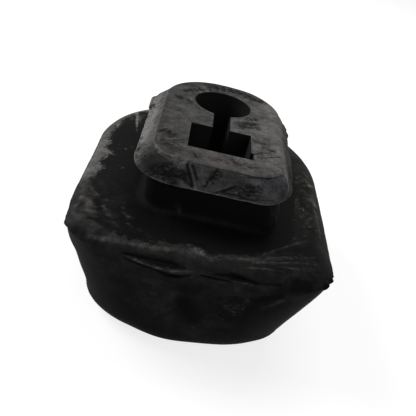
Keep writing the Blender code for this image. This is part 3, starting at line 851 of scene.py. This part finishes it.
def paint(mesh):
    """Stores what the rubber's material reads: tones, marks, stains, dust and specks, the painted
    light and shade among them, and how deep in the slot each point lies.
    """
    count = len(mesh.vertices)
    places, facing = np.empty(count * 3), np.empty(count * 3)
    mesh.attributes["plain"].data.foreach_get("vector", places)
    mesh.vertices.foreach_get("normal", facing)
    places, facing = places.reshape(-1, 3) / MM, facing.reshape(-1, 3)
    mesh.attributes.remove(mesh.attributes["plain"])
    mesh.attributes.remove(mesh.attributes["order"])
    layers = {name: np.zeros(count) for name in ("marks", *PATCHES)}
    layers["tone"], layers["rim"] = zone_tones(places, facing)
    layers["reach"] = np.clip(0.5 + outside(places, CLEAN_SHOULDER) / 4, 0, 1)
    slot = outside(places, [(x / MM, y / MM) for x, y in keyhole(SLOT_REACH)]) < 0
    slot &= places[:, 2] < TOP_LEVEL / MM - 0.05
    for name in ("tone", "rim"):
        layers[name][slot] = 0
    wander = np.column_stack([rough(places, 1.6, seed) for seed in (21, 22, 23)])
    for amount, reach, start, end in strokes(MARKS):
        astray = places + wander * 0.5 * min(reach, 1.6) * (reach > 0.6)
        layers["marks"] += amount * nearness(astray, start, end, reach)
    for name, table in PATCHES.items():
        for amount, reach, start, end in strokes(table):
            near = nearness(places + wander * 0.4 * reach, start, end, reach)
            layers[name] = np.maximum(layers[name], amount * near)
    for name in ("marks", "scuff", "specks"):
        layers[name][slot] = 0
    # How far into the slot each point lies, from 1 at its mouth to 2 at its floor: the slot is
    # painted lighter the deeper it goes, a painted fill light against its shade
    sunk = (TOP_LEVEL / MM - places[:, 2]) / (TOP_LEVEL / MM - SLOT_FLOOR / MM)
    layers["slot"] = slot * (1 + np.clip(sunk, 0, 1))
    for name, values in layers.items():
        mesh.attributes.new(name, "FLOAT", "POINT").data.foreach_set("value", values)


def model_moulding(sizes):
    """The whole moulding as one closed mesh."""
    bm = bmesh.new()
    bm.verts.layers.int.new("order")
    bm.verts.layers.float_vector.new("plain")
    base_rim, top_rim = wrap_grid(bm, *skin(sizes))
    bm.faces.new(base_rim[::-1])
    fill_top(bm, top_rim, cut_slot(bm, sizes))
    layer = bm.verts.layers.float_vector["plain"]
    for vert in bm.verts:
        if vert[layer].length == 0 or vert.co.z > TOP_LEVEL - 0.01 * MM:
            vert[layer] = vert.co
    bmesh.ops.recalc_face_normals(bm, faces=bm.faces)
    mesh = bpy.data.meshes.new("moulding")
    bm.to_mesh(mesh)
    bm.free()
    mesh.shade_smooth()
    mesh.set_sharp_from_angle(angle=SHARP_ANGLE)
    paint(mesh)
    return mesh


def add_node(tree, kind, inputs=None, **settings):
    """Adds a node, sets its options, and fills or links its inputs by name or number."""
    node = tree.nodes.new(kind)
    for name, value in settings.items():
        setattr(node, name, value)
    for key, value in (inputs or {}).items():
        if isinstance(value, bpy.types.NodeSocket):
            tree.links.new(value, node.inputs[key])
        else:
            node.inputs[key].default_value = value
    return node


def values_of(tree, name):
    """What was painted under this name."""
    return add_node(tree, "ShaderNodeAttribute", attribute_name=name).outputs["Fac"]


def maths(tree, operation, first, second=0.0, third=0.0, clamp=False):
    """One step of arithmetic on values."""
    return add_node(tree, "ShaderNodeMath", {0: first, 1: second, 2: third},
                    operation=operation, use_clamp=clamp).outputs[0]


def add_up(tree, base, *layers):
    """Adds layers to a base value, each times its weight."""
    for layer, weight in layers:
        base = maths(tree, "MULTIPLY_ADD", layer, weight, base)
    return base


def spread(tree, value, low, high, to_low=0.0, to_high=1.0):
    """A smooth step from one range of values to another."""
    return add_node(tree, "ShaderNodeMapRange",
                    {"Value": value, "From Min": low, "From Max": high,
                     "To Min": to_low, "To Max": to_high},
                    interpolation_type="SMOOTHSTEP").outputs["Result"]


def blend(tree, share, first, second):
    """Mixes two colours."""
    node = add_node(tree, "ShaderNodeMix", {0: share}, data_type="RGBA")
    for socket, colour in ((node.inputs[6], first), (node.inputs[7], second)):
        if isinstance(colour, bpy.types.NodeSocket):
            tree.links.new(colour, socket)
        else:
            socket.default_value = (*colour, 1)
    return node.outputs[2]


def group_tree(name, inputs, outputs):
    """An empty node group with these sockets, and its two ends."""
    tree = bpy.data.node_groups.new(name, "ShaderNodeTree")
    for label, kind in inputs:
        tree.interface.new_socket(label, in_out="INPUT", socket_type=kind)
    for label, kind in outputs:
        tree.interface.new_socket(label, in_out="OUTPUT", socket_type=kind)
    return tree, tree.nodes.new("NodeGroupInput").outputs, tree.nodes.new("NodeGroupOutput").inputs


def grain_group():
    """Rubber grain: clouds, fine mottling and grit, with a height for the bump."""
    if "rubber grain" in bpy.data.node_groups:
        return bpy.data.node_groups["rubber grain"]
    tree, given, made = group_tree(
        "rubber grain", [("Place", "NodeSocketVector")],
        [(label, "NodeSocketFloat") for label in ("Clouds", "Mottle", "Grit", "Height")])
    fields = {}
    for label, size, detail in (("Clouds", 5.0, 3), ("Mottle", 1.3, 4), ("Grit", 0.38, 2)):
        noise_node = add_node(tree, "ShaderNodeTexNoise", {
            "Vector": given["Place"], "Scale": 1 / size, "Detail": detail, "Roughness": 0.6})
        fields[label] = spread(tree, noise_node.outputs[0], 0.3, 0.7)
        tree.links.new(fields[label], made[label])
    height = maths(tree, "MULTIPLY_ADD", fields["Grit"], 0.5, fields["Mottle"])
    tree.links.new(height, made["Height"])
    return tree


def place_in_mm(tree):
    """Where a point of the piece is, in millimetres."""
    place = add_node(tree, "ShaderNodeTexCoord").outputs["Object"]
    return add_node(tree, "ShaderNodeVectorMath", {0: place, "Scale": 1 / MM},
                    operation="SCALE").outputs[0]


def grain_in(tree, place):
    """Places the grain group in a material."""
    node = add_node(tree, "ShaderNodeGroup", node_tree=grain_group())
    tree.links.new(place, node.inputs["Place"])
    return node.outputs


def brush_strokes(tree, place, turn, size):
    """Noise drawn out into strokes that run at this angle in plan."""
    turned = add_node(tree, "ShaderNodeVectorRotate", {"Vector": place, "Angle": -turn},
                      rotation_type="Z_AXIS").outputs[0]
    drawn = add_node(tree, "ShaderNodeVectorMath", {0: turned, 1: [1 / s for s in size]},
                     operation="MULTIPLY").outputs[0]
    noise_node = add_node(tree, "ShaderNodeTexNoise", {
        "Vector": drawn, "Scale": 1.0, "Detail": 3, "Roughness": 0.55})
    return spread(tree, noise_node.outputs[0], 0.3, 0.7)


def rubber_material(name, colours):
    """Black rubber with chalky bloom, dust, rubs and specks where they were painted, the painted
    highlights and shade that come with them, and a painted fill light in the slot.
    """
    material = bpy.data.materials.new(name)
    material.use_nodes = True
    tree = material.node_tree
    shader = tree.nodes["Principled BSDF"]
    place = place_in_mm(tree)
    grain = grain_in(tree, place)
    fingers = brush_strokes(tree, place, math.radians(28), (2.4, 0.42, 0.6))
    dashes = brush_strokes(tree, place, math.radians(4), (1.0, 0.34, 0.5))

    # Dust reaches over the clean shoulder in ragged fingers
    edge = add_up(tree, values_of(tree, "reach"), (fingers, 0.34), (grain["Mottle"], 0.22),
                  (grain["Grit"], 0.10))
    ragged = spread(tree, edge, 0.74, 0.94)
    tone = add_node(tree, "ShaderNodeMix", {0: ragged, 2: values_of(tree, "tone"),
                                            3: values_of(tree, "rim")}).outputs[0]

    # Mottling: deeper where there is more bloom
    wave = add_up(tree, 0.60, (grain["Clouds"], 0.30), (grain["Mottle"], 0.26),
                  (grain["Grit"], 0.22))
    tone = maths(tree, "MULTIPLY", tone, wave)

    # Rubs and scratches, and the marks, painted highlights and shade among them
    rub = add_up(tree, dashes, (values_of(tree, "scuff"), 0.7))
    rub = maths(tree, "MULTIPLY", spread(tree, rub, 0.80, 1.15), values_of(tree, "scuff"))
    broken = add_up(tree, 0.45, (grain["Mottle"], 0.5), (grain["Grit"], 0.4))
    tone = add_up(tree, tone, (rub, -0.44), (values_of(tree, "marks"), broken))

    # Specks of dust
    drawn = add_node(tree, "ShaderNodeVectorMath", {0: place, 1: (0.5, 1.1, 1.1)},
                     operation="MULTIPLY").outputs[0]
    cells = add_node(tree, "ShaderNodeTexVoronoi", {"Vector": drawn, "Scale": 1.0})
    dot = spread(tree, cells.outputs["Distance"], 0.18, 0.34, 1.0, 0.0)
    lit = spread(tree, add_node(tree, "ShaderNodeSeparateColor",
                                {0: cells.outputs["Color"]}).outputs[0], 0.45, 0.80)
    dot = maths(tree, "MULTIPLY", maths(tree, "MULTIPLY", dot, lit), values_of(tree, "specks"))
    tone = maths(tree, "MULTIPLY_ADD", dot, 0.42, tone, clamp=True)

    share = maths(tree, "POWER", tone, 2.0)
    chalk = colours.chalk
    for name, colour_there in (("brown", colours.stain), ("cool", colours.cool),
                               ("olive", colours.olive)):
        chalk = blend(tree, values_of(tree, name), chalk, colour_there)
    # The slot's walls are painted lighter than the rubber and its floor lighter still: painted
    # fill light against the shade in the slot
    clean = blend(tree, values_of(tree, "slot"), colours.rubber, colours.slot)
    deep = maths(tree, "SUBTRACT", values_of(tree, "slot"), 1.0, clamp=True)
    clean = blend(tree, deep, clean, colours.slot_floor_painted_light)
    tree.links.new(blend(tree, share, clean, chalk), shader.inputs["Base Color"])
    tree.links.new(spread(tree, tone, 0.0, 0.6, 0.5, 0.85), shader.inputs["Roughness"])
    shader.inputs["Specular IOR Level"].default_value = 0.01
    add_bump(tree, grain["Height"], shader, 0.35)
    return material


def add_bump(tree, height, shader, strength):
    """Raises the grain a few hundredths of a millimetre."""
    bump = add_node(tree, "ShaderNodeBump", {"Height": height, "Strength": strength,
                                             "Distance": 0.06 * MM})
    tree.links.new(bump.outputs[0], shader.inputs["Normal"])


def length(name, description, value):
    """A fine size, as a property."""
    return bpy.props.FloatProperty(
        name=name, description=description, default=value, unit="LENGTH", precision=5)


def colour(name, description, value):
    """A colour, as a property."""
    return bpy.props.FloatVectorProperty(
        name=name, description=description, subtype="COLOR", default=value, min=0, max=1)


class MountSizes(bpy.types.PropertyGroup):
    """Fine sizes of the moulding."""
    fin_height: length(
        "Flash height", "How far the parting line's flash stands out", 0.22 * MM)
    fold_depth: length(
        "Fold depth", "Depth of the folds below the shoulder's front edge", 0.55 * MM)
    lip_raggedness: length("Lip raggedness", "How uneven the lip's edge is", 0.12 * MM)
    unevenness: length("Unevenness", "How far the flanks wave in and out", 0.16 * MM)
    mouth_radius: length("Mouth radius", "Rounding of the slot's mouth", 0.22 * MM)


class MountColours(bpy.types.PropertyGroup):
    """Colours of the moulding, of what lies on it and of the floor."""
    rubber: colour("Rubber", "Clean black rubber", (0.0043, 0.0042, 0.0042))
    # Painted fill light: the slot's walls are lighter than the clean rubber, against the shade in
    # the slot
    slot: colour("Slot", "Clean rubber at the slot's mouth", (0.0118, 0.0115, 0.0118))
    # Painted fill light: the slot's floor is lighter still, against the deeper shade there
    slot_floor_painted_light: colour("Slot floor", "Dusty rubber on the slot's floor", (0.034, 0.033, 0.034))
    chalk: colour("Bloom", "Chalky bloom and dust", (0.153, 0.150, 0.146))
    stain: colour("Stain", "Brownish bloom", (0.160, 0.144, 0.140))
    cool: colour("Cool bloom", "Bluish bloom", (0.146, 0.149, 0.160))
    olive: colour("Olive dust", "Greenish dust on the shoulder's sides", (0.155, 0.152, 0.134))
    floor: colour("Floor", "The floor that the mount stands on", (0.6, 0.6, 0.6))


class MOUNT_OT_moulding(bpy.types.Operator):
    """Model and finish the moulding"""
    bl_idname = "mount.moulding"
    bl_label = "Moulding"

    def execute(self, context):
        mesh = model_moulding(context.scene.mount_sizes)
        mesh.materials.append(rubber_material("rubber", context.scene.mount_colours))
        piece = bpy.data.objects.new("moulding", mesh)
        context.scene.collection.objects.link(piece)
        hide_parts(NODE)
        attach(piece, "root")
        return {"FINISHED"}


# The photograph's camera, lamps and floor
CAMERA_PLACE = (-9.92 * MM, -140.79 * MM, 97.92 * MM)
CAMERA_YAW = math.radians(5.401)
CAMERA_PITCH = math.radians(32.538)
CAMERA_ROLL = math.radians(15.238)
CAMERA_LENS = 48.46           # millimetres
CAMERA_SENSOR = 36            # millimetres
LAMPS = (                     # name, place, size and power
    ("key", (-0.42, 0.10, 0.34), 0.30, 2.6),
    ("top", (0.10, 0.25, 0.50), 0.40, 1.6),
    ("fill", (0.30, -0.45, 0.28), 0.35, 0.6))
LAMPS_AIM = Vector((0, -12 * MM, 20 * MM))
LIGHT_ALL_ROUND = 0.22
FLOOR_RADIUS = 4.0
FLOOR_LEVEL = -0.05 * MM
FLOOR_SEEN = (0.30, 0.30, 0.30, 1)
FLOOR_GLOW = 0.78
WHITE = (1, 1, 1, 1)


def add_camera(scene):
    """The photograph's view: from the front, above, and leaning to the left."""
    data = bpy.data.cameras.new("camera")
    data.lens = CAMERA_LENS
    data.sensor_width = CAMERA_SENSOR
    data.clip_start = 0.01
    camera = bpy.data.objects.new("camera", data)
    view = Matrix.Translation(CAMERA_PLACE)
    for angle, axis in ((-CAMERA_YAW, "Z"), (math.pi / 2 - CAMERA_PITCH, "X"), (CAMERA_ROLL, "Z")):
        view = view @ Matrix.Rotation(angle, 4, axis)
    camera.matrix_world = view
    scene.collection.objects.link(camera)
    scene.camera = camera


def add_lamp(scene, name, place, size, power):
    """A square soft lamp that faces the mount."""
    data = bpy.data.lights.new(name, "AREA")
    data.size = size
    data.energy = power
    lamp = bpy.data.objects.new(name, data)
    lamp.location = place
    lamp.rotation_euler = (LAMPS_AIM - Vector(place)).to_track_quat("-Z", "Y").to_euler()
    scene.collection.objects.link(lamp)


def background_ray(tree):
    """1 for what the camera, a gloss or clear glass sees of the background."""
    path = add_node(tree, "ShaderNodeLightPath").outputs
    seen = maths(tree, "MAXIMUM", path["Is Camera Ray"], path["Is Glossy Ray"])
    return maths(tree, "MAXIMUM", seen, path["Is Transmission Ray"])


def floor_material(colour):
    """White floor: it shows as white to the camera and keeps the mount's shadow."""
    material = bpy.data.materials.new("floor")
    material.use_nodes = True
    tree = material.node_tree
    tree.nodes.clear()
    plain = add_node(tree, "ShaderNodeBsdfDiffuse", {"Color": (*colour, 1)})
    seen_plain = add_node(tree, "ShaderNodeBsdfDiffuse", {"Color": FLOOR_SEEN})
    glow = add_node(tree, "ShaderNodeEmission", {"Color": WHITE, "Strength": FLOOR_GLOW})
    seen = add_node(tree, "ShaderNodeAddShader", {0: seen_plain.outputs[0], 1: glow.outputs[0]})
    mixed = add_node(tree, "ShaderNodeMixShader", {0: background_ray(tree), 1: plain.outputs[0],
                                                   2: seen.outputs[0]})
    add_node(tree, "ShaderNodeOutputMaterial", {"Surface": mixed.outputs[0]})
    return material


def add_world(scene):
    """Plain light from all round, behind which the camera sees white."""
    world = bpy.data.worlds.new("studio")
    world.use_nodes = True
    tree = world.node_tree
    tree.nodes.clear()
    light = add_node(tree, "ShaderNodeBackground", {"Color": WHITE, "Strength": LIGHT_ALL_ROUND})
    white = add_node(tree, "ShaderNodeBackground", {"Color": WHITE, "Strength": 1.0})
    mixed = add_node(tree, "ShaderNodeMixShader", {0: background_ray(tree), 1: light.outputs[0],
                                                   2: white.outputs[0]})
    add_node(tree, "ShaderNodeOutputWorld", {"Surface": mixed.outputs[0]})
    scene.world = world


class MOUNT_OT_stage(bpy.types.Operator):
    """Set up the floor, the lamps and the camera"""
    bl_idname = "mount.stage"
    bl_label = "Stage"

    def execute(self, context):
        scene = context.scene
        bm = bmesh.new()
        bmesh.ops.create_circle(bm, cap_ends=True, segments=96, radius=FLOOR_RADIUS)
        mesh = bpy.data.meshes.new("floor")
        bm.to_mesh(mesh)
        bm.free()
        mesh.materials.append(floor_material(scene.mount_colours.floor))
        floor = bpy.data.objects.new("floor", mesh)
        floor.location.z = FLOOR_LEVEL
        scene.collection.objects.link(floor)
        add_world(scene)
        for lamp in LAMPS:
            add_lamp(scene, *lamp)
        add_camera(scene)
        scene.view_settings.view_transform = "Standard"
        return {"FINISHED"}


class MOUNT_PT_panel(bpy.types.Panel):
    """Sizes, colours and pieces of the rubber mount"""
    bl_label = "Rubber mount"
    bl_space_type = "VIEW_3D"
    bl_region_type = "UI"
    bl_category = "Rubber mount"

    def draw(self, context):
        for group in (context.scene.mount_sizes, context.scene.mount_colours):
            for name in group.bl_rna.properties.keys():
                if name not in ("rna_type", "name"):
                    self.layout.prop(group, name)
        for operator in (MOUNT_OT_moulding, MOUNT_OT_stage):
            self.layout.operator(operator.bl_idname)


CLASSES = (MountSizes, MountColours, MOUNT_OT_moulding, MOUNT_OT_stage, MOUNT_PT_panel)


def register():
    for cls in CLASSES:
        bpy.utils.register_class(cls)
    bpy.types.Scene.mount_sizes = bpy.props.PointerProperty(type=MountSizes)
    bpy.types.Scene.mount_colours = bpy.props.PointerProperty(type=MountColours)


def unregister():
    del bpy.types.Scene.mount_colours
    del bpy.types.Scene.mount_sizes
    for cls in reversed(CLASSES):
        bpy.utils.unregister_class(cls)


def main():
    """Builds the scene."""
    register()
    bpy.ops.mount.moulding()
    bpy.ops.mount.stage()


if __name__ == "__main__":
    main()
